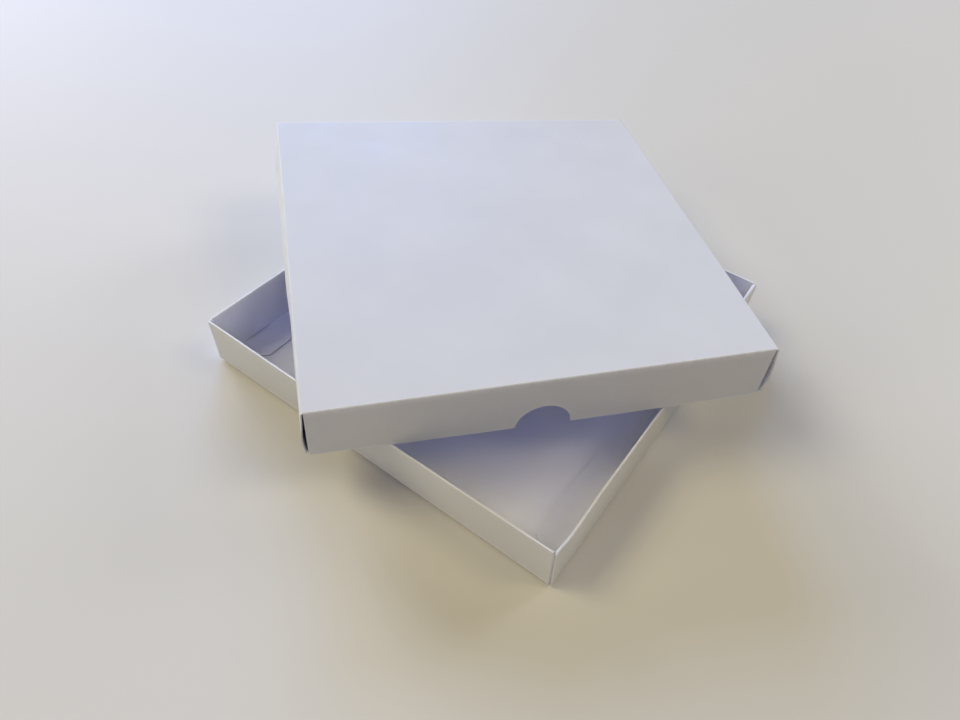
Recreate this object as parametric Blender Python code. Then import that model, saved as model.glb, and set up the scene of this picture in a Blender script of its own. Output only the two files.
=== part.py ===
"""A two-piece square gift box of white paperboard: a base tray, and a telescoping lid that lies
turned on the tray's rim.

Metres, +Z up. The origin is the middle of the base's underside, with X and Y along its walls.
Base and lid are each one cut and creased sheet, folded the same way: the two end walls stand
single, with a corner flap at each end, and the two side walls roll over the corner flaps and
come down again inside as a liner, which ends in a flap that lies flat on the main panel. Each
panel between two creases is an object of its own. The lid is the same tray turned upside down.
"""

import math

import bpy

# Board
BOARD = 0.00045  # thickness of the paperboard
CREASE = 0.0003  # clearance where two panels meet at a crease, or lie on each other
PLY = BOARD + CREASE
ROLLED_WALL = 3 * BOARD + 2 * CREASE  # outer wall, corner flap and liner

# Trays
BASE_SIDE = 0.156
BASE_HEIGHT = 0.0222
LID_SIDE = 0.1614
LID_HEIGHT = 0.0214
CORNER_FLAP = 0.0200  # how far a corner flap reaches along the side wall
CORNER_FLAP_TAPER = 0.0030
MAIN_FLAP = 0.0125  # how far the liner's flap reaches over the main panel
THUMB_NOTCH_RADIUS = 0.0099
NOTCH_STEPS = 24

# Where the lid lies on the base
LID_SHIFT = (-0.0127, 0.0150)
LID_TURN = math.radians(48.3)

# A panel's outline runs in its own X and Y, and these turn it to lie flat or to stand.
FLAT = (0, 0, 0)
FACING_Y = (math.pi / 2, 0, 0)
FACING_X = (math.pi / 2, 0, math.pi / 2)

# Finish of the board: colour, roughness
COATED = ((0.84, 0.85, 0.88), 0.42)
UNCOATED = ((0.80, 0.80, 0.84), 0.60)


def clear_scene():
    for obj in list(bpy.data.objects):
        bpy.data.objects.remove(obj, do_unlink=True)


def new_collection(name):
    collection = bpy.data.collections.new(name)
    bpy.context.scene.collection.children.link(collection)
    return collection


def make_material(name, finish):
    colour, roughness = finish
    material = bpy.data.materials.new(name)
    material.use_nodes = True
    shader = material.node_tree.nodes["Principled BSDF"]
    shader.inputs["Base Color"].default_value = (*colour, 1)
    shader.inputs["Roughness"].default_value = roughness
    shader.inputs["Metallic"].default_value = 0
    return material


def make_frame(box, name, parent=None, location=(0, 0, 0), rotation=(0, 0, 0)):
    """An empty that carries panels: a whole tray, or what folds about one crease."""
    frame = bpy.data.objects.new(name, None)
    frame.empty_display_size = 0.01
    frame.parent = parent
    frame.location = location
    frame.rotation_euler = rotation
    box.objects.link(frame)
    return frame


def make_panel(box, name, parent, outline, facing, centre, finish):
    """One flat panel of board, cut to the outline, with the middle of its thickness at centre."""
    curve = bpy.data.curves.new(name, "CURVE")
    curve.dimensions = "2D"
    curve.fill_mode = "BOTH"
    curve.extrude = BOARD / 2
    spline = curve.splines.new("POLY")
    spline.points.add(len(outline) - 1)
    for point, (across, up) in zip(spline.points, outline):
        point.co = (across, up, 0, 1)
    spline.use_cyclic_u = True
    curve.materials.append(make_material(name, finish))
    panel = bpy.data.objects.new(name, curve)
    panel.parent = parent
    panel.location = centre
    panel.rotation_euler = facing
    box.objects.link(panel)
    return panel


def rectangle(across, low, high):
    """A rectangle centred across, from low to high."""
    return [(-across / 2, low), (across / 2, low), (across / 2, high), (-across / 2, high)]


def notched_rectangle(across, low, high, radius):
    """A rectangle with a half-round bite taken out of the middle of its high edge."""
    bite = []
    for step in range(NOTCH_STEPS + 1):
        angle = math.pi * step / NOTCH_STEPS
        bite.append((radius * math.cos(angle), high - radius * math.sin(angle)))
    corners = rectangle(across, low, high)
    return corners[:3] + bite + corners[3:]


def corner_flap_outline(inward, height):
    """A flap hinged on its standing edge at zero, narrowing towards its free edge."""
    reach = inward * CORNER_FLAP
    return [
        (0, PLY),
        (reach, PLY + CORNER_FLAP_TAPER),
        (reach, height - PLY - CORNER_FLAP_TAPER),
        (0, height - PLY),
    ]


def mitred_flap_outline(inward, length):
    """A flap hinged on its long edge at CREASE / 2, with both ends cut back at 45 degrees."""
    near = inward * CREASE / 2
    far = inward * MAIN_FLAP
    end = length / 2
    return [(near, -end), (far, MAIN_FLAP - end), (far, end - MAIN_FLAP), (near, end)]


def make_end_wall(box, name, tray, end, side, height, notch):
    across = side - 2 * PLY
    if notch:
        outline = notched_rectangle(across, PLY, height, notch)
    else:
        outline = rectangle(across, PLY, height)
    make_panel(box, name, tray, outline, FACING_Y, (0, end * (side - BOARD) / 2, 0), COATED)


def make_corner_flap(box, name, tray, hand, end, side, height):
    centre = (hand * (side / 2 - PLY - BOARD / 2), end * (side / 2 - PLY), 0)
    outline = corner_flap_outline(-end, height)
    make_panel(box, name, tray, outline, FACING_X, centre, UNCOATED)


def make_side_wall(box, name, tray, hand, side, height):
    outline = rectangle(side, PLY, height - PLY)
    make_panel(box, name, tray, outline, FACING_X, (hand * (side - BOARD) / 2, 0, 0), COATED)


def make_rim_ledge(box, name, tray, hand, side, height):
    """The narrow strip along the top of a rolled side wall, between its two creases."""
    inner = side / 2 - ROLLED_WALL + BOARD + CREASE / 2
    width = side / 2 - inner
    length = side - 2 * PLY
    outline = rectangle(width, -length / 2, length / 2)
    centre = (hand * (inner + width / 2), 0, height - BOARD / 2)
    make_panel(box, name, tray, outline, FLAT, centre, COATED)


def make_liner(box, name, tray, hand, side, height, flap_name):
    """The inner half of a rolled side wall, and its flap on the main panel, each on its crease."""
    length = side - 2 * (PLY + CREASE)
    rim = (hand * (side / 2 - ROLLED_WALL + BOARD), 0, height - BOARD)
    rim_crease = make_frame(box, name + "_rim_crease", tray, rim)
    drop = height - BOARD - (PLY + BOARD)
    outline = rectangle(length, CREASE / 2 - drop, -CREASE / 2)
    make_panel(box, name, rim_crease, outline, FACING_X, (-hand * BOARD / 2, 0, 0), UNCOATED)

    foot_crease = make_frame(box, flap_name + "_crease", rim_crease, (-hand * BOARD, 0, -drop))
    outline = mitred_flap_outline(-hand, length)
    make_panel(box, flap_name, foot_crease, outline, FLAT, (0, 0, -BOARD / 2), UNCOATED)


def make_tray(box, prefix, main_panel, tray, side, height, hands, notch=0):
    """A whole folded tray, open upwards. hands names the sides at its own -X and +X."""
    outline = rectangle(side, -side / 2, side / 2)
    make_panel(box, prefix + main_panel, tray, outline, FLAT, (0, 0, BOARD / 2), COATED)
    for end, end_name in ((-1, "front"), (1, "back")):
        name = f"{prefix}end_wall_{end_name}"
        make_end_wall(box, name, tray, end, side, height, notch if end < 0 else 0)
        for hand, hand_name in hands.items():
            name = f"{prefix}corner_flap_{end_name}_{hand_name}"
            make_corner_flap(box, name, tray, hand, end, side, height)
    for hand, hand_name in hands.items():
        make_side_wall(box, f"{prefix}side_wall_{hand_name}", tray, hand, side, height)
        make_rim_ledge(box, f"{prefix}rim_ledge_{hand_name}", tray, hand, side, height)
        flap_name = f"{prefix}{main_panel}_flap_{hand_name}"
        make_liner(box, f"{prefix}liner_{hand_name}", tray, hand, side, height, flap_name)


def main():
    clear_scene()
    box = new_collection("gift_box")
    base = make_frame(box, "base_frame")
    make_tray(box, "base_", "floor", base, BASE_SIDE, BASE_HEIGHT, {-1: "left", 1: "right"})

    lid_top = BASE_HEIGHT + CREASE + LID_HEIGHT
    lid = make_frame(box, "lid_frame", None, (*LID_SHIFT, lid_top), (0, math.pi, LID_TURN))
    hands = {-1: "right", 1: "left"}  # turned upside down, so its own +X is on the left
    make_tray(box, "lid_", "top", lid, LID_SIDE, LID_HEIGHT, hands, THUMB_NOTCH_RADIUS)


main()
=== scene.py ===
"""The looks of a white two-piece gift box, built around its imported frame.

Metres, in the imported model's frame, which is called the row frame below. Every panel of the two
folded trays is a sheet of paperboard with its real thickness: a grid of points at mid-thickness,
bent round the creases, eased out of true the way a handled box is, and then thickened both ways.

A tray is worked out open upwards in its own frame: X across its rolled side walls, Y between its
end walls, Z up from the outer face of its main panel. A wall is worked out in its own section:
"out" from the middle of the tray towards the wall, "along" it, and "up".
"""

import math

import bpy
import numpy as np
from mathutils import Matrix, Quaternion, Vector

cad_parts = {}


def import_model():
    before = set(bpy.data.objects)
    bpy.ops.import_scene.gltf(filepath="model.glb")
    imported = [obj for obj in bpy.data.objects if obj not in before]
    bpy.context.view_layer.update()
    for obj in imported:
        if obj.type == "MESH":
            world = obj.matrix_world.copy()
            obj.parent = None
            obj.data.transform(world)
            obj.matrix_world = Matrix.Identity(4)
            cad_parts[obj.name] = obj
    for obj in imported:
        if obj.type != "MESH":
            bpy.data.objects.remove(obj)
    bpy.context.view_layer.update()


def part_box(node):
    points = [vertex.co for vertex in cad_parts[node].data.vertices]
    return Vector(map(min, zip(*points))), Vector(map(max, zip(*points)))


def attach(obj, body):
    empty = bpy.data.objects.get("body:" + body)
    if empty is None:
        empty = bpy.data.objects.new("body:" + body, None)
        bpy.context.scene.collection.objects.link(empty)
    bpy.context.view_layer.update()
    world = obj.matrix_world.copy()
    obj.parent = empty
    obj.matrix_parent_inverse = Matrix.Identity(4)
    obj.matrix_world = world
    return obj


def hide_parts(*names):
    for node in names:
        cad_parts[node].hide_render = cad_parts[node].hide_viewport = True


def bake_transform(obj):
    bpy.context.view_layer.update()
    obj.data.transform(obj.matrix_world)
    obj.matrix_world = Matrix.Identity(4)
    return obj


# Board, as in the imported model
BOARD = 0.00045
CREASE = 0.0003
PLY = BOARD + CREASE
ROLLED_WALL = 3 * BOARD + 2 * CREASE
CORNER_FLAP = 0.0200
CORNER_FLAP_TAPER = 0.0030
MAIN_FLAP = 0.0125
THUMB_NOTCH_RADIUS = 0.0099
LID_TURN = math.radians(48.3)

# Creases
FOLD = 0.0004  # radius at mid-thickness
STUB = 0.0001  # straight run kept at each end of a crease, so that neighbours meet smoothly

# How finely the board is divided
FOLD_STEPS = 8
MAIN_STEPS = 40
WALL_STEPS = 60
FLAP_STEPS = 10
SIDE_STEPS = 13
WEAR_AND_HIGHLIGHT_STEPS = 2
LINER_STEPS = 14
NOTCH_STEPS = 32
END_SHARES = (*(step / 12 for step in range(1, 12)), 0.955, 0.98, 1)  # of an end wall's height
SHARP = math.radians(50)  # faces that meet at more than this keep a sharp edge

# How the handled box differs from its true shape
NOTCH_LIFT = 0.0006  # the thumb notch's centre lies this far outside the rim
NOTCH_SHIFT = 0.0007  # and this far to the left of the wall's middle
WORN_CORNER_REACH = 0.0045  # how far along an end wall's rim a worn corner is rounded
LID_WORN_CORNER = 0.0012  # how much of that corner's height is gone
LEDGE_GAP = 0.0013  # from the end wall's outer face to where the rim ledge starts
FLAP_REST = 0.0001  # how far the flap's free edge settles towards the main panel
BASE_SAG = 0.0005  # how far the floor hangs below its edges, which stand off the table
SAG_REACH = 0.003  # how far in from the edges the floor has come down
BURR = 0.5  # by which share the board has spread at an end wall's rim
BURR_REACH = 0.0006

# Where the board is whitened along rims and creases: partly real wear, partly a painted highlight
# where they catch the light
WEAR_AND_HIGHLIGHT_WHITE = (0.97, 0.97, 0.94)
RIM_WEAR_AND_HIGHLIGHT = 0.0005  # how far down from a rim
LEDGE_WEAR_AND_HIGHLIGHT = 0.0003
LINER_WEAR_AND_HIGHLIGHT = 0.0008
CREASE_WEAR_AND_HIGHLIGHT = 0.001  # how far either way from an end wall's bottom crease
CREASE_WEAR_AND_HIGHLIGHT_STRENGTH = 0.7  # and how strongly, where a rim is 1

# How far each corner has moved, in millimetres to the right, back and up, at the main panel and
# at the rim: front left, front right, back right and back left
BASE_MAIN_DRIFT = ((-0.6, 0.2, 0.7), (1.3, -0.1, 0.8), (-0.8, 0, 0.7), (0, 0, 0.5))
BASE_RIM_DRIFT = ((-1.2, -0.7, -0.3), (0.5, -0.4, -1.0), (0.2, 1.0, 1.6), (-0.2, 0, -0.6))
LID_MAIN_DRIFT = ((-0.3, 0.2, -1.4), (0.1, -0.8, 3.6), (-0.2, -0.6, -3.5), (-1.2, 0.2, 4.2))
LID_RIM_DRIFT = ((-0.4, 0.2, -1.5), (0.7, -0.8, 1.6), (-0.2, -0.6, -0.8), (-1.2, 0.2, 4.2))

# How far each end wall's rim is bowed out in the middle, in front and at the back
BASE_BOWS = (0.0004, 0)
LID_BOWS = (0.0006, 0.0006)

# Faces of the board: colour, roughness, gloss and the depth of the fibres' bumps
PRINTED = ((0.80, 0.80, 0.745), 0.50, 0.36, 0.00001)
# The reverse and the lining are painted light: bluer and brighter than the printed face, standing for
# the bluish light bounced round inside the box.
REVERSE_WITH_PAINTED_LIGHT = ((0.90, 0.91, 1.0), 0.62, 0.3, 0.000016)
LINING_WITH_PAINTED_LIGHT = ((0.89, 0.90, 1.0), 0.55, 0.35, 0.00001)
CUT_EDGE = (0.80, 0.80, 0.79)

# The crease at the liner's foot is cut through in dashes, measured from the front wall
DASH_START = 0.0142
DASH_PITCH = 0.0212
DASH = 0.0098
DASHES = 6

# Camera
CAMERA_AT = (0.1162, -0.1925, 0.2323)
CAMERA_TARGET = (0.0237, -0.0460, 0.0439)
CAMERA_ROLL = math.radians(5.48)
CAMERA_LENS = 28.83
SENSOR = 36.0

# Stage
FLOOR_RADIUS = 3.0
FLOOR_STEPS = 96
FLOOR_LEVEL = -0.0001
FLOOR_DARKER = (0.78, 0.745, 0.61)
FLOOR_LIGHTER = (0.80, 0.765, 0.63)
FLOOR_ROUGHNESS = 0.62
ROOM_LIGHT = (1.0, 0.74, 0.5)
ROOM_STRENGTH = 0.07
BACKDROP = (0.60, 0.60, 0.58)

# Large soft lamps aimed at the object. The first angle is in degrees leftwards from straight
# behind the object as the camera sees it, and the second is above the table. Then come the power
# in watts and the colour: cool daylight from behind, a warm fill from both sides and a faint blue
# one from the front.
LAMP_DISTANCE = 4.0
LAMP_SIZE = 1.8
LAMPS = {
    "window_left": (42, 19, 116, (0.61, 0.68, 0.98)),
    "window_behind": (15, 24, 89, (0.27, 0.44, 0.98)),
    "window_right": (-53, 24, 40, (0.84, 0.87, 1.0)),
    "ceiling_left": (87, 50, 46, (1.0, 0.91, 0.64)),
    "ceiling_right": (-93, 50, 29, (1.0, 0.90, 0.64)),
    "room_left": (117, 20, 21, (1.0, 0.95, 0.80)),
    "room_near": (177, 45, 18, (0.33, 0.42, 1.0)),
}

# Signs of the sides, as the box stands
LEFT, RIGHT = -1, 1
FRONT, BACK = -1, 1


# Grids of points

def arc(centre, start, end, radius=FOLD):
    """Points of a section round a crease, from one angle to another in degrees."""
    angles = np.radians(np.linspace(start, end, FOLD_STEPS + 1))
    return np.stack([centre[0] + radius * np.cos(angles), centre[1] + radius * np.sin(angles)], 1)


def join(*stretches):
    """One section out of several, each a point or a list of points, with no point twice."""
    points = np.concatenate([np.atleast_2d(np.asarray(stretch, float)) for stretch in stretches])
    moved = np.linalg.norm(np.diff(points, axis=0), axis=1) > 1e-7
    return points[np.concatenate([[True], moved])]


def run(start, end, steps):
    """Points of a straight stretch of section, without its first point."""
    shares = np.linspace(0, 1, steps + 1)[1:, None]
    return np.asarray(start) + (np.asarray(end) - np.asarray(start)) * shares


def close_at_ends(low, high, count, *extra):
    """Places between low and high, closer together towards both, with some extra ones."""
    eased = np.sin(np.linspace(-math.pi / 2, math.pi / 2, count + 1))
    places = (low + high) / 2 + (high - low) / 2 * eased
    return np.unique(np.round(np.concatenate([places, *extra]), 7))


def smooth(low, high, values):
    """0 below low, 1 above high and an S-curve between."""
    share = np.clip((values - low) / (high - low), 0, 1)
    return share * share * (3 - 2 * share)


def along_knots(shares, knots):
    """Values along a wall, eased between (share, value) knots; share is -1 in front, 1 at the back."""
    values = np.full_like(shares, knots[0][1], dtype=float)
    for (start, low), (end, high) in zip(knots, knots[1:]):
        values += (high - low) * smooth(start, end, shares)
    return values


def extrude(section, places):
    """A grid of (out, along, up) points: the section at each of the places along a wall."""
    grid = np.zeros((len(section), len(places), 3))
    grid[:, :, 0] = section[:, 0, None]
    grid[:, :, 1] = places[None, :]
    grid[:, :, 2] = section[:, 1, None]
    return grid


# Trays

class Tray:
    """One folded tray and how it sits: upright coordinates are X right, Y back and Z up. flip is
    -1 for a tray turned upside down, drifts are in millimetres and sag in metres."""

    def __init__(
        self, prefix, main_panel, side, height, origin, turn, flip, main_drift, rim_drift, sag=0
    ):
        self.prefix = prefix
        self.body = prefix[:-1]
        self.main_panel = main_panel
        self.side = side
        self.half = side / 2
        self.height = height
        self.origin = np.array(origin)
        self.turn = turn
        self.flip = flip
        self.main_drift = np.array(main_drift) / 1000
        self.rim_drift = np.array(rim_drift) / 1000
        self.sag = sag
        self.outer = self.half - BOARD / 2  # mid-thickness of the outer walls
        self.liner = self.half - ROLLED_WALL + BOARD / 2

    def drift(self, upright, share):
        """How far the relaxed tray is from its true place: corner values, mixed across the tray.
        share is 0 at the main panel and 1 at the rim."""
        right = upright[..., 0:1] / self.side + 0.5
        back = upright[..., 1:2] / self.side + 0.5
        corners = self.main_drift + (self.rim_drift - self.main_drift) * share[..., None, None]
        weights = [(1 - right) * (1 - back), right * (1 - back), right * back, (1 - right) * back]
        moved = sum(weight * corners[..., k, :] for k, weight in enumerate(weights))
        inset = self.half - np.abs(upright[..., :2]).max(-1)
        moved[..., 2] -= self.sag * smooth(0, SAG_REACH, inset) * (1 - share)
        return moved

    def place(self, points):
        """Row-frame points from the tray's own."""
        upright = points * np.array([self.flip, 1, self.flip])
        share = np.clip(points[..., 2] / self.height, 0, 1)
        upright = upright + self.drift(upright, share)
        cosine, sine = math.cos(self.turn), math.sin(self.turn)
        x = upright[..., 0] * cosine - upright[..., 1] * sine
        y = upright[..., 0] * sine + upright[..., 1] * cosine
        return np.stack([x, y, upright[..., 2]], -1) + self.origin

    def hands(self):
        """The side of the tray's own X that lies on the left, and the one on the right."""
        return ((LEFT * self.flip, "left"), (RIGHT * self.flip, "right"))


def side_frame(grid, hand):
    """Tray points of a side wall's (out, along, up) grid."""
    return np.stack([hand * grid[..., 0], -hand * grid[..., 1], grid[..., 2]], -1)


def end_frame(grid, end):
    """Tray points of an end wall's (out, along, up) grid."""
    return np.stack([end * grid[..., 1], end * grid[..., 0], grid[..., 2]], -1)


# Meshes

def directions(grid, axis):
    """Unit tangents of the grid along an axis, each the mean of its two neighbouring steps."""
    steps = np.diff(grid, axis=axis)
    steps = steps / np.maximum(np.linalg.norm(steps, axis=-1, keepdims=True), 1e-12)
    first = np.take(steps, [0], axis)
    last = np.take(steps, [-1], axis)
    mean = np.concatenate([first, steps], axis) + np.concatenate([steps, last], axis)
    return mean / np.linalg.norm(mean, axis=-1, keepdims=True)


def sheet(name, grid, skins, keep=None, wear_and_highlight=None, burr=0):
    """A closed sheet of board whose mid-thickness is the grid, of row-frame points.

    skins are the materials of the printed face, the reverse and the cut edges. keep is a mask of the
    grid's cells. The next argument says for each grid point how strongly it is whitened near a crease
    or a handled rim, partly as real wear and partly as a painted highlight, and burr by which share of
    its thickness the board has spread there."""
    rows, columns = grid.shape[:2]
    if keep is None:
        keep = np.ones((rows - 1, columns - 1), bool)
    normals = np.cross(directions(grid, 0), directions(grid, 1))
    normals /= np.linalg.norm(normals, axis=-1, keepdims=True)
    normals *= BOARD / 2 * (1 + np.broadcast_to(burr, (rows, columns))[..., None])
    faces_out = grid + normals
    faces_in = grid - normals
    points = np.concatenate([faces_out.reshape(-1, 3), faces_in.reshape(-1, 3)])
    under = rows * columns

    faces, skin_of = [], []
    inside = np.pad(keep, 1)
    for i, j in zip(*np.nonzero(keep)):
        here, beyond = i * columns + j, (i + 1) * columns + j
        corner = [here, beyond, beyond + 1, here + 1]
        faces.append(corner)
        skin_of.append(0)
        faces.append([under + point for point in reversed(corner)])
        skin_of.append(1)
        neighbours = (inside[i + 1, j], inside[i + 2, j + 1], inside[i + 1, j + 2], inside[i, j + 1])
        for side, covered in enumerate(neighbours):
            if covered:
                continue
            start, end = corner[side], corner[(side + 1) % 4]
            faces.append([end, start, under + start, under + end])
            skin_of.append(2)

    used, faces_used = np.unique(faces, return_inverse=True)
    faces_used = faces_used.reshape(-1, 4)
    mesh = bpy.data.meshes.new(name)
    mesh.from_pydata(points[used].tolist(), [], faces_used.tolist())
    for skin in skins:
        mesh.materials.append(skin)
    mesh.polygons.foreach_set("material_index", skin_of)
    if wear_and_highlight is None:
        wear_and_highlight = np.zeros((rows, columns))
    # The whitening near creases and rims, partly real wear and partly a painted highlight, goes to the
    # materials.
    attribute = mesh.attributes.new("wear_and_highlight", "FLOAT", "POINT")
    attribute.data.foreach_set("value", np.tile(wear_and_highlight.ravel(), 2)[used].astype(np.float32))
    mesh.shade_smooth()
    mesh.set_sharp_from_angle(angle=SHARP)
    mesh.validate()
    piece = bpy.data.objects.new(name, mesh)
    bpy.context.scene.collection.objects.link(piece)
    return piece


def stand_for(piece, node, body=None, blend=None):
    """Hide the CAD node the piece stands for; parent the piece to its body's empty, or, for a piece
    given a blend, bake its placement into its mesh instead (the blend's bodies and ends are not used).
    """
    if blend:
        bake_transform(piece)
    else:
        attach(piece, body)
    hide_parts(node)


# Materials

class Graph:
    """Short ways to wire a material's nodes."""

    def __init__(self, name):
        self.material = bpy.data.materials.new(name)
        self.material.use_nodes = True
        self.tree = self.material.node_tree
        self.shader = self.tree.nodes["Principled BSDF"]
        self.place = self.node("ShaderNodeTexCoord").outputs["Object"]

    def node(self, kind, **settings):
        made = self.tree.nodes.new(kind)
        for key, value in settings.items():
            setattr(made, key, value)
        return made

    def link(self, source, target):
        self.tree.links.new(source, target)

    def noise(self, scale, detail, roughness=0.55, stretch=None):
        """Noise between 0 and 1; scale counts blotches in a metre."""
        texture = self.node("ShaderNodeTexNoise")
        texture.inputs["Scale"].default_value = scale
        texture.inputs["Detail"].default_value = detail
        texture.inputs["Roughness"].default_value = roughness
        place = self.place
        if stretch:
            mapping = self.node("ShaderNodeMapping")
            mapping.inputs["Scale"].default_value = stretch
            self.link(place, mapping.inputs["Vector"])
            place = mapping.outputs["Vector"]
        self.link(place, texture.inputs["Vector"])
        return texture.outputs["Fac"]

    def span(self, value, low, high, to_low, to_high):
        """The value, moved from one range to another and kept inside it."""
        mapped = self.node("ShaderNodeMapRange")
        ranges = {"From Min": low, "From Max": high, "To Min": to_low, "To Max": to_high}
        for key, number in ranges.items():
            mapped.inputs[key].default_value = number
        self.link(value, mapped.inputs["Value"])
        return mapped.outputs["Result"]

    def mix(self, share, first, second):
        """A colour between two, each a colour or an output."""
        mixed = self.node("ShaderNodeMix", data_type="RGBA")
        for socket, colour in (("A", first), ("B", second)):
            target = next(s for s in mixed.inputs if s.name == socket and s.type == "RGBA")
            if isinstance(colour, tuple):
                target.default_value = (*colour, 1)
            else:
                self.link(colour, target)
        self.link(share, mixed.inputs["Factor"])
        return next(s for s in mixed.outputs if s.type == "RGBA")

    def bump(self, *layers):
        """Bump from (height, metres deep) layers, one on the other."""
        normal = None
        for height, depth in layers:
            bump = self.node("ShaderNodeBump")
            bump.inputs["Distance"].default_value = depth
            self.link(height, bump.inputs["Height"])
            if normal:
                self.link(normal, bump.inputs["Normal"])
            normal = bump.outputs["Normal"]
        self.link(normal, self.shader.inputs["Normal"])

    def attribute(self, name):
        return self.node("ShaderNodeAttribute", attribute_name=name).outputs["Fac"]


def board_face(name, colour, roughness, gloss, fibre):
    """A face of white board: faint cloudy mottle, a fine fibre surface, and creases and rims whitened,
    partly as real wear and partly as a painted highlight.
    """
    graph = Graph(name)
    cloud = graph.noise(28, detail=3)
    fleck = graph.noise(900, detail=2)
    darker = tuple(channel * 0.972 for channel in colour)
    lighter = tuple(min(channel * 1.012, 1) for channel in colour)
    tone = graph.mix(graph.span(cloud, 0.35, 0.65, 0, 1), darker, lighter)
    tone = graph.mix(graph.span(fleck, 0.62, 0.80, 0, 0.35), tone, darker)
    # Creases and rims whitened, partly as real wear and partly as a painted highlight, broken up by
    # noise.
    wear_and_highlight_share = graph.node("ShaderNodeMath", operation="MULTIPLY")
    graph.link(graph.attribute("wear_and_highlight"), wear_and_highlight_share.inputs[0])
    graph.link(graph.span(graph.noise(500, detail=3), 0.3, 0.6, 0.45, 1), wear_and_highlight_share.inputs[1])
    tone = graph.mix(wear_and_highlight_share.outputs[0], tone, WEAR_AND_HIGHLIGHT_WHITE)
    graph.link(tone, graph.shader.inputs["Base Color"])
    rough = graph.span(graph.noise(60, detail=3), 0.3, 0.7, roughness - 0.05, roughness + 0.05)
    graph.link(rough, graph.shader.inputs["Roughness"])
    graph.shader.inputs["Specular IOR Level"].default_value = gloss
    fibres = graph.noise(2600, detail=3, roughness=0.6)
    waves = graph.noise(220, detail=2)
    graph.bump((waves, 0.00003), (fibres, fibre))
    return graph.material


def cut_edge(name, colour):
    """The cut edge of the board: the layers of its fibres, a little fuzzy."""
    graph = Graph(name)
    layers = graph.noise(1500, detail=2, stretch=(1, 1, 3))
    fuzz = graph.noise(5200, detail=3)
    darker = tuple(channel * 0.90 for channel in colour)
    tone = graph.mix(graph.span(layers, 0.4, 0.6, 0, 1), colour, darker)
    # Near rims and creases the cut edge is whitened too: partly real wear, partly a painted highlight.
    tone = graph.mix(graph.attribute("wear_and_highlight"), tone, WEAR_AND_HIGHLIGHT_WHITE)
    graph.link(tone, graph.shader.inputs["Base Color"])
    graph.shader.inputs["Roughness"].default_value = 0.75
    graph.shader.inputs["Specular IOR Level"].default_value = 0.25
    graph.bump((layers, 0.00004), (fuzz, 0.00003))
    return graph.material


# Panels

class RolledWall:
    """How one rolled side wall sits. Each is a list of (share, metres) knots from front to back:
    lean is how far the outer face stands out at the rim, thickness the whole wall's at the rim,
    and bulge how far the outer face stands out between rim and foot, most at peak of its height.
    recess is how far the wall's cut ends lie behind the end walls, and gap how far the rim ledge's
    do, each in front and at the back."""

    def __init__(
        self, lean, thickness, bulge=((-1, 0), (1, 0)), peak=0.5, recess=(0, 0), gap=(LEDGE_GAP,) * 2
    ):
        self.lean = lean
        self.thickness = thickness
        self.bulge = bulge
        self.peak = peak
        self.recess = recess
        self.gap = gap

    def outer(self, tray, shares):
        """Mid-thickness of the outer wall at the rim."""
        return tray.half + along_knots(shares, self.lean) - BOARD / 2

    def inner(self, tray, shares):
        """Mid-thickness of the liner at the rim."""
        return self.outer(tray, shares) - along_knots(shares, self.thickness) + BOARD

    def swell(self, shares, heights):
        """How far the outer wall stands out, for heights as shares of the wall's height."""
        power = math.log(0.5) / math.log(self.peak)
        return along_knots(shares, self.bulge) * np.sin(np.pi * heights**power)


def crease_radius(outer, inner):
    """The rim's two creases tighten where the wall is pinched."""
    return np.minimum(FOLD, (outer - inner) / 2 - STUB)


def main_panel(tray, skins):
    edge = tray.outer - FOLD - STUB
    places = close_at_ends(-edge, edge, MAIN_STEPS)
    across, along = np.meshgrid(places, places, indexing="ij")
    grid = np.stack([across, -along, np.full_like(across, BOARD / 2)], -1)
    node = tray.prefix + tray.main_panel
    piece = sheet(node + "_board", tray.place(grid), skins)
    stand_for(piece, node, tray.body)


def foot_crease(tray):
    """The section from the main panel round a wall's bottom crease."""
    centre = (tray.outer - FOLD, BOARD / 2 + FOLD)
    return join((centre[0] - STUB, BOARD / 2), arc(centre, -90, 0))


def rim_height(tray, along, notch, worn_corner):
    """How high the end wall stands at a place along it, with the thumb notch's bite, and with the
    last corner along it worn down by so much."""
    end = tray.half - PLY
    height = tray.height - worn_corner * smooth(end - WORN_CORNER_REACH, end, along) ** 2
    if notch:
        bite = np.sqrt(np.maximum(notch**2 - (along + NOTCH_SHIFT) ** 2, 0)) - NOTCH_LIFT
        height -= np.maximum(bite, 0)
    return height


def near(distances, reach=RIM_WEAR_AND_HIGHLIGHT):
    """1 at no distance, falling to 0 at reach."""
    return 1 - smooth(0, reach, np.abs(distances))


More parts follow.
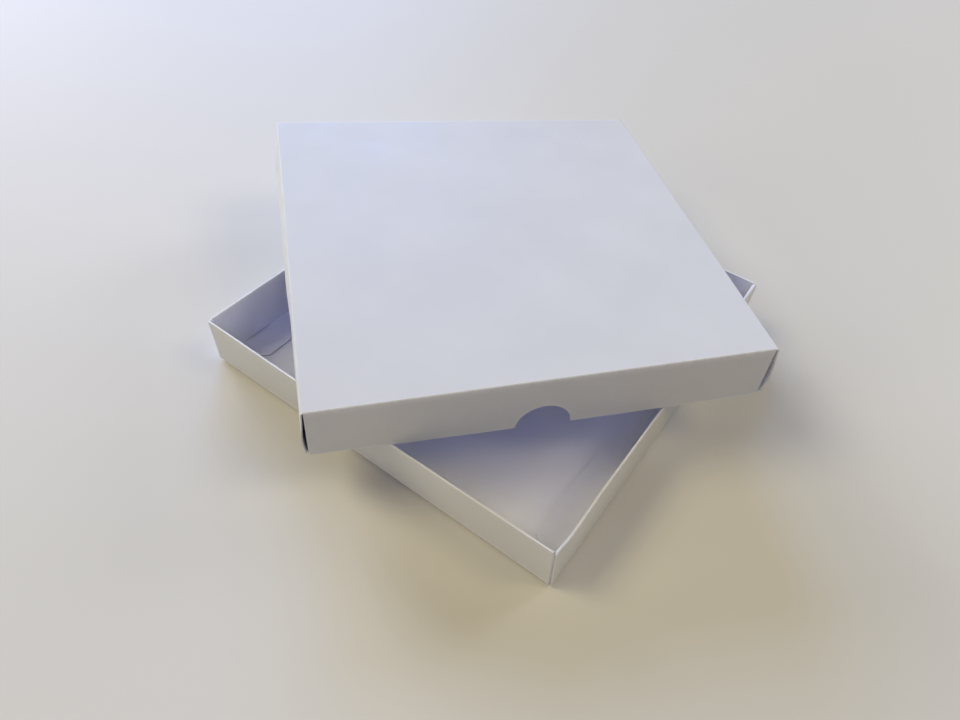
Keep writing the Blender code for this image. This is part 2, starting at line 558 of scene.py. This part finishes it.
def end_wall(tray, end, skins, bow, notch=0, worn_corner=0):
    """A single end wall with its bottom crease."""
    name = f"{tray.prefix}end_wall_{'front' if end < 0 else 'back'}"
    width = tray.half - PLY - BOARD / 2 - FOLD
    foot_width = tray.half - PLY
    angles = np.linspace(0, math.pi, NOTCH_STEPS + 1)
    bite = notch * np.cos(angles) - NOTCH_SHIFT if notch else []
    places = close_at_ends(-width, width, WALL_STEPS, [-foot_width, foot_width], bite)
    foot = foot_crease(tray)
    shares = np.array(END_SHARES)[:, None]
    grid = np.concatenate([extrude(foot, places), extrude(np.zeros((len(shares), 2)), places)])
    wall = grid[len(foot) :]
    bottom = foot[-1, 1]
    rim = rim_height(tray, places, notch, worn_corner)
    wall[..., 2] = bottom + (rim - bottom) * shares
    wall[..., 0] = tray.outer + bow * (1 - (places / foot_width) ** 2) * wall[..., 2] / tray.height
    keep = np.ones((grid.shape[0] - 1, grid.shape[1] - 1), bool)
    keep[len(foot) - 1 :, 0] = False
    keep[len(foot) - 1 :, -1] = False
    # Whitened along the bottom crease and just below the rim: partly real wear, partly a painted
    # highlight.
    crease_wear_and_highlight = CREASE_WEAR_AND_HIGHLIGHT_STRENGTH * near(grid[..., 2] - FOLD, CREASE_WEAR_AND_HIGHLIGHT)
    wear_and_highlight = np.maximum(near(grid[..., 2] - rim), crease_wear_and_highlight)
    burr = BURR * near(grid[..., 2] - rim, BURR_REACH)
    piece = sheet(name + "_board", tray.place(end_frame(grid, end)), skins, keep, wear_and_highlight, burr)
    stand_for(piece, name, tray.body)


def corner_flap(tray, hand, end, hand_name, skins):
    """The vertical crease at an end wall's corner, and the flap inside the rolled wall."""
    name = f"{tray.prefix}corner_flap_{'front' if end < 0 else 'back'}_{hand_name}"
    flap = tray.half - PLY - BOARD / 2
    centre = (flap - FOLD, tray.outer - FOLD)
    tip = (flap, tray.outer - CORNER_FLAP)
    reach = run((flap, centre[1]), tip, FLAP_STEPS)
    plan = join((centre[0] - STUB, tray.outer), arc(centre, 90, 0), reach)
    travel = np.concatenate([[0], np.cumsum(np.linalg.norm(np.diff(plan, axis=0), axis=1))])
    taper = CORNER_FLAP_TAPER * np.clip((travel - FOLD * math.pi / 2) / CORNER_FLAP, 0, 1)
    low = PLY + taper
    high = tray.height - PLY - taper
    grid = np.zeros((len(plan), FLAP_STEPS + 1, 3))
    for row in range(FLAP_STEPS + 1):
        grid[:, row, 0] = hand * plan[:, 0]
        grid[:, row, 1] = end * plan[:, 1]
        grid[:, row, 2] = low + (high - low) * row / FLAP_STEPS
    if hand * end > 0:
        grid = grid[:, ::-1]
    piece = sheet(name + "_board", tray.place(grid), skins)
    stand_for(piece, name, tray.body)


def side_wall(tray, hand, hand_name, wall, skins):
    """The outer half of a rolled side wall with its bottom crease."""
    name = f"{tray.prefix}side_wall_{hand_name}"
    foot = foot_crease(tray)
    top = tray.height - BOARD / 2 - FOLD - STUB
    wear_and_highlight_start = (tray.outer, top - RIM_WEAR_AND_HIGHLIGHT)
    rise = run(foot[-1], wear_and_highlight_start, SIDE_STEPS)
    section = join(foot, rise, run(wear_and_highlight_start, (tray.outer, top), WEAR_AND_HIGHLIGHT_STEPS))
    places = close_at_ends(-tray.half, tray.half, WALL_STEPS)
    grid = extrude(section, places)
    shares = -hand * places / tray.half
    heights = np.clip((section[:, 1, None] - foot[-1, 1]) / (top - foot[-1, 1]), 0, 1)
    grid[..., 0] += (wall.outer(tray, shares) - tray.outer) * heights + wall.swell(shares, heights)
    front, back = wall.recess
    drawn_in = np.where(shares < 0, -front, back) * np.abs(shares) ** 8  # next to its ends only
    grid[..., 1] += hand * drawn_in
    # Whitened just below the rim: partly real wear, partly a painted highlight.
    wear_and_highlight = near(grid[..., 2] - top)
    piece = sheet(name + "_board", tray.place(side_frame(grid, hand)), skins, wear_and_highlight=wear_and_highlight)
    stand_for(piece, name, tray.body)


def between_gaps(tray, hand, gap):
    """Places along a side wall, from its front gap to its back one."""
    front, back = (tray.half - size for size in gap)
    if hand > 0:
        front, back = back, front
    return close_at_ends(-front, back, WALL_STEPS)


def rim_ledge(tray, hand, hand_name, wall, skins):
    """The outer crease of a rolled wall's rim and the strip up to its inner crease."""
    name = f"{tray.prefix}rim_ledge_{hand_name}"
    level = tray.height - BOARD / 2
    places = between_gaps(tray, hand, wall.gap)
    shares = -hand * places / tray.half
    columns = []
    for outer, inner in zip(wall.outer(tray, shares), wall.inner(tray, shares)):
        radius = crease_radius(outer, inner)
        stub = (outer, level - FOLD - STUB)
        crease = arc((outer - radius, level - radius), 0, 90, radius=radius)
        columns.append(np.concatenate([[stub], crease, [(inner + radius + STUB / 2, level)]]))
    grid = columns_grid(columns, places)
    # Whitened along the rim: partly real wear, partly a painted highlight.
    wear_and_highlight = near(grid[..., 2] - level, LEDGE_WEAR_AND_HIGHLIGHT)
    piece = sheet(name + "_board", tray.place(side_frame(grid, hand)), skins, wear_and_highlight=wear_and_highlight)
    stand_for(piece, name, tray.body)


def columns_grid(columns, places):
    """A grid of (out, along, up) points from one (out, up) section for each place."""
    grid = np.zeros((len(columns[0]), len(places), 3))
    grid[..., (0, 2)] = np.stack(columns, 1)
    grid[..., 1] = places
    return grid


def bend(tray, hand, low, high):
    """The two row-frame points for where a blend would start and end, passed on but not used: a crease
    runs the length of the tray, and the bend goes square to it from the (out, up) point low to the
    point high."""
    front, back = (
        [tray.place(side_frame(np.array([out, place, up]), hand)) for out, up in (low, high)]
        for place in (-tray.half, tray.half)
    )
    line = back[0] - front[0]
    line /= np.linalg.norm(line)
    start = (front[0] + back[0]) / 2
    step = (front[1] + back[1]) / 2 - start
    return tuple(start), tuple(start + step - line * (step @ line))


def liner(tray, hand, hand_name, wall, skins):
    """The inner half of a rolled side wall, from its rim crease down."""
    name = f"{tray.prefix}liner_{hand_name}"
    level = tray.height - BOARD / 2
    foot = PLY + BOARD / 2 + FOLD
    places = between_gaps(tray, hand, [max(size, PLY + CREASE) for size in wall.gap])
    shares = -hand * places / tray.half
    columns = []
    for outer, inner in zip(wall.outer(tray, shares), wall.inner(tray, shares)):
        radius = crease_radius(outer, inner)
        crease = arc((inner + radius, level - radius), 90, 180, radius=radius)
        hanging = run(crease[-1], (tray.liner, foot), LINER_STEPS)
        columns.append(np.concatenate([[(inner + radius + STUB / 2, level)], crease, hanging]))
    grid = columns_grid(columns, places)
    # Whitened along the rim crease: partly real wear, partly a painted highlight.
    wear_and_highlight = near(grid[..., 2] - level, LINER_WEAR_AND_HIGHLIGHT)
    piece = sheet(name + "_board", tray.place(side_frame(grid, hand)), skins, wear_and_highlight=wear_and_highlight)
    under = tray.height - BOARD
    ends = bend(tray, hand, (tray.liner, under), (tray.liner, under - FOLD))
    stand_for(piece, name, blend=(tray.body, name, *ends))


def main_flap(tray, hand, hand_name, skins):
    """The crease at the liner's foot, cut through in dashes, and the mitred flap on the main
    panel."""
    name = f"{tray.prefix}{tray.main_panel}_flap_{hand_name}"
    liner_name = f"{tray.prefix}liner_{hand_name}"
    level = PLY + BOARD / 2
    centre = (tray.liner - FOLD, level + FOLD)
    crease = arc(centre, 0, -90)
    edge = tray.liner - MAIN_FLAP
    section = join(crease, run(crease[-1], (edge, level - FLAP_REST), FLAP_STEPS))
    length = tray.half - PLY - CREASE
    dashes = [DASH_START + DASH_PITCH * dash - tray.half for dash in range(DASHES)]
    cuts = [-hand * (start + reach) for start in dashes for reach in (0, DASH)]
    places = close_at_ends(-length, length, WALL_STEPS, cuts)
    grid = extrude(section, places)
    reach = np.clip(tray.liner - FOLD - section[:, 0], 0, None)[:, None]
    grid[..., 1] *= 1 - reach / length
    middles = -hand * (places[1:] + places[:-1]) / 2
    keep = np.ones((len(section) - 1, len(places) - 1), bool)
    for start in dashes:
        keep[: len(crease) - 1, (middles > start) & (middles < start + DASH)] = False
    piece = sheet(name + "_board", tray.place(side_frame(grid, hand)), skins, keep)
    slope = (tray.liner - BOARD / 2, level + FOLD)
    fall = FOLD - BOARD / 2
    ends = bend(tray, hand, slope, (slope[0] - fall, slope[1] - fall))
    stand_for(piece, name, blend=(liner_name, name, *ends))


def build_tray(tray, walls, bows, skins, inner_skins, notch=0, worn_corner=0):
    """All the panels. walls are the left and right rolled wall, bows the end walls' at the rim."""
    main_panel(tray, skins)
    for end, bow in zip((FRONT, BACK), bows):
        end_wall(tray, end, skins, bow, notch if end == FRONT else 0, worn_corner)
        for hand, hand_name in tray.hands():
            corner_flap(tray, hand, end, hand_name, skins)
    for (hand, hand_name), wall in zip(tray.hands(), walls):
        side_wall(tray, hand, hand_name, wall, skins)
        rim_ledge(tray, hand, hand_name, wall, skins)
        liner(tray, hand, hand_name, wall, inner_skins)
        main_flap(tray, hand, hand_name, inner_skins)


# Stage

def make_floor():
    angles = [math.tau * step / FLOOR_STEPS for step in range(FLOOR_STEPS)]
    rim = [(FLOOR_RADIUS * math.cos(angle), FLOOR_RADIUS * math.sin(angle), 0) for angle in angles]
    mesh = bpy.data.meshes.new("floor")
    mesh.from_pydata(rim, [], [range(FLOOR_STEPS)])
    floor = bpy.data.objects.new("floor", mesh)
    floor.location.z = FLOOR_LEVEL
    graph = Graph("floor")
    cloud = graph.span(graph.noise(3, detail=2), 0.3, 0.7, 0, 1)
    tone = graph.mix(cloud, FLOOR_DARKER, FLOOR_LIGHTER)
    graph.link(tone, graph.shader.inputs["Base Color"])
    graph.shader.inputs["Roughness"].default_value = FLOOR_ROUGHNESS
    mesh.materials.append(graph.material)
    bpy.context.scene.collection.objects.link(floor)


def make_lamp(name, azimuth, height, power, colour):
    behind = Vector(CAMERA_TARGET) - Vector(CAMERA_AT)
    turn = math.atan2(behind.y, behind.x) + math.radians(azimuth)
    lift = math.radians(height)
    level = math.cos(lift)
    at = LAMP_DISTANCE * Vector((level * math.cos(turn), level * math.sin(turn), math.sin(lift)))
    data = bpy.data.lights.new(name, "AREA")
    data.shape = "DISK"
    data.size = LAMP_SIZE
    data.energy = power
    data.color = colour
    lamp = bpy.data.objects.new(name, data)
    lamp.location = at
    lamp.rotation_mode = "QUATERNION"
    lamp.rotation_quaternion = (-at).to_track_quat("-Z", "Y")
    bpy.context.scene.collection.objects.link(lamp)


def make_world():
    """A faint warm light from all round, behind a plain pale backdrop."""
    world = bpy.data.worlds.new("studio")
    world.use_nodes = True
    nodes, links = world.node_tree.nodes, world.node_tree.links
    lit = nodes["Background"]
    lit.inputs["Color"].default_value = (*ROOM_LIGHT, 1)
    lit.inputs["Strength"].default_value = ROOM_STRENGTH
    seen = nodes.new("ShaderNodeBackground")
    seen.inputs["Color"].default_value = (*BACKDROP, 1)
    ray = nodes.new("ShaderNodeLightPath")
    backdrop = nodes.new("ShaderNodeMixShader")
    links.new(ray.outputs["Is Camera Ray"], backdrop.inputs["Fac"])
    links.new(lit.outputs["Background"], backdrop.inputs[1])
    links.new(seen.outputs["Background"], backdrop.inputs[2])
    links.new(backdrop.outputs["Shader"], nodes["World Output"].inputs["Surface"])
    bpy.context.scene.world = world


def make_camera():
    data = bpy.data.cameras.new("camera")
    data.sensor_width = SENSOR
    data.lens = CAMERA_LENS
    data.clip_start = 0.01
    camera = bpy.data.objects.new("camera", data)
    camera.location = CAMERA_AT
    aim = (Vector(CAMERA_TARGET) - Vector(CAMERA_AT)).to_track_quat("-Z", "Y")
    camera.rotation_mode = "QUATERNION"
    camera.rotation_quaternion = aim @ Quaternion((0, 0, 1), CAMERA_ROLL)
    bpy.context.scene.collection.objects.link(camera)
    bpy.context.scene.camera = camera


def tray_size(main_node, wall_node, turn):
    """A tray's side, its height and the outer middle of its main panel, read from its CAD nodes."""
    low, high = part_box(main_node)
    wall_low, wall_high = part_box(wall_node)
    side = (high.x - low.x) / (abs(math.cos(turn)) + abs(math.sin(turn)))
    bottom = min(low.z, wall_low.z)
    top = max(high.z, wall_high.z)
    middle = (low + high) / 2
    upright = wall_high.z > high.z
    return side, top - bottom, (middle.x, middle.y, bottom if upright else top)


def knots(*pairs):
    """(share, metres) knots from (share, millimetres) ones."""
    return [(share, value / 1000) for share, value in pairs]


def base_walls():
    left = RolledWall(
        lean=knots((-1, -0.3), (1, 0)),
        thickness=knots((-1, 1.1), (0, 1.0), (1, 1.6)),
        recess=(0.0003, 0),
        gap=(0.0022, 0.0013),
    )
    right = RolledWall(
        lean=knots((-1, -0.1), (-0.9, 0.35), (-0.6, -0.2), (0.1, -0.4), (1, 0)),
        thickness=knots((-1, 0.98), (-0.75, 0.86), (0.6, 0.86), (1, 1.5)),
        bulge=knots((-1, 0), (-0.8, 0.4), (1, 0.4)),
        gap=(0.0002, 0.0009),
    )
    return left, right


def lid_walls():
    lean = knots((-1, 0), (1, 0))
    thickness = knots((-1, 1.5), (0, 1.1), (1, 1.5))
    left = RolledWall(
        lean,
        thickness,
        bulge=knots((-1, 0.85), (-0.4, 1.3), (-0.1, 2.0), (0.5, 2.1), (0.85, 2.5), (1, 1.7)),
        peak=0.66,
    )
    right = RolledWall(
        lean,
        thickness,
        bulge=knots((-1, 1.4), (-0.35, 0.3), (0, 0.3), (1, 1.2)),
        peak=0.6,
    )
    return left, right


def main():
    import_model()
    bpy.context.scene.view_settings.view_transform = "Standard"
    make_camera()

    printed = board_face("board_printed", *PRINTED)
    # The reverse and the lining carry painted light: their colour is bluer and brighter than the
    # printed face's.
    reverse_with_painted_light = board_face("board_reverse_with_painted_light", *REVERSE_WITH_PAINTED_LIGHT)
    lining_with_painted_light = board_face("board_lining_with_painted_light", *LINING_WITH_PAINTED_LIGHT)
    edge = cut_edge("board_edge", CUT_EDGE)
    skins = (printed, reverse_with_painted_light, edge)
    inner_skins = (lining_with_painted_light, reverse_with_painted_light, edge)

    size = tray_size("base_floor", "base_end_wall_front", 0)
    base = Tray("base_", "floor", *size, 0, 1, BASE_MAIN_DRIFT, BASE_RIM_DRIFT, BASE_SAG)
    build_tray(base, base_walls(), BASE_BOWS, skins, inner_skins)

    size = tray_size("lid_top", "lid_end_wall_front", LID_TURN)
    lid = Tray("lid_", "top", *size, LID_TURN, -1, LID_MAIN_DRIFT, LID_RIM_DRIFT)
    build_tray(
        lid, lid_walls(), LID_BOWS, skins, inner_skins, THUMB_NOTCH_RADIUS, LID_WORN_CORNER
    )

    make_floor()
    for name, settings in LAMPS.items():
        make_lamp(name, *settings)
    make_world()


main()
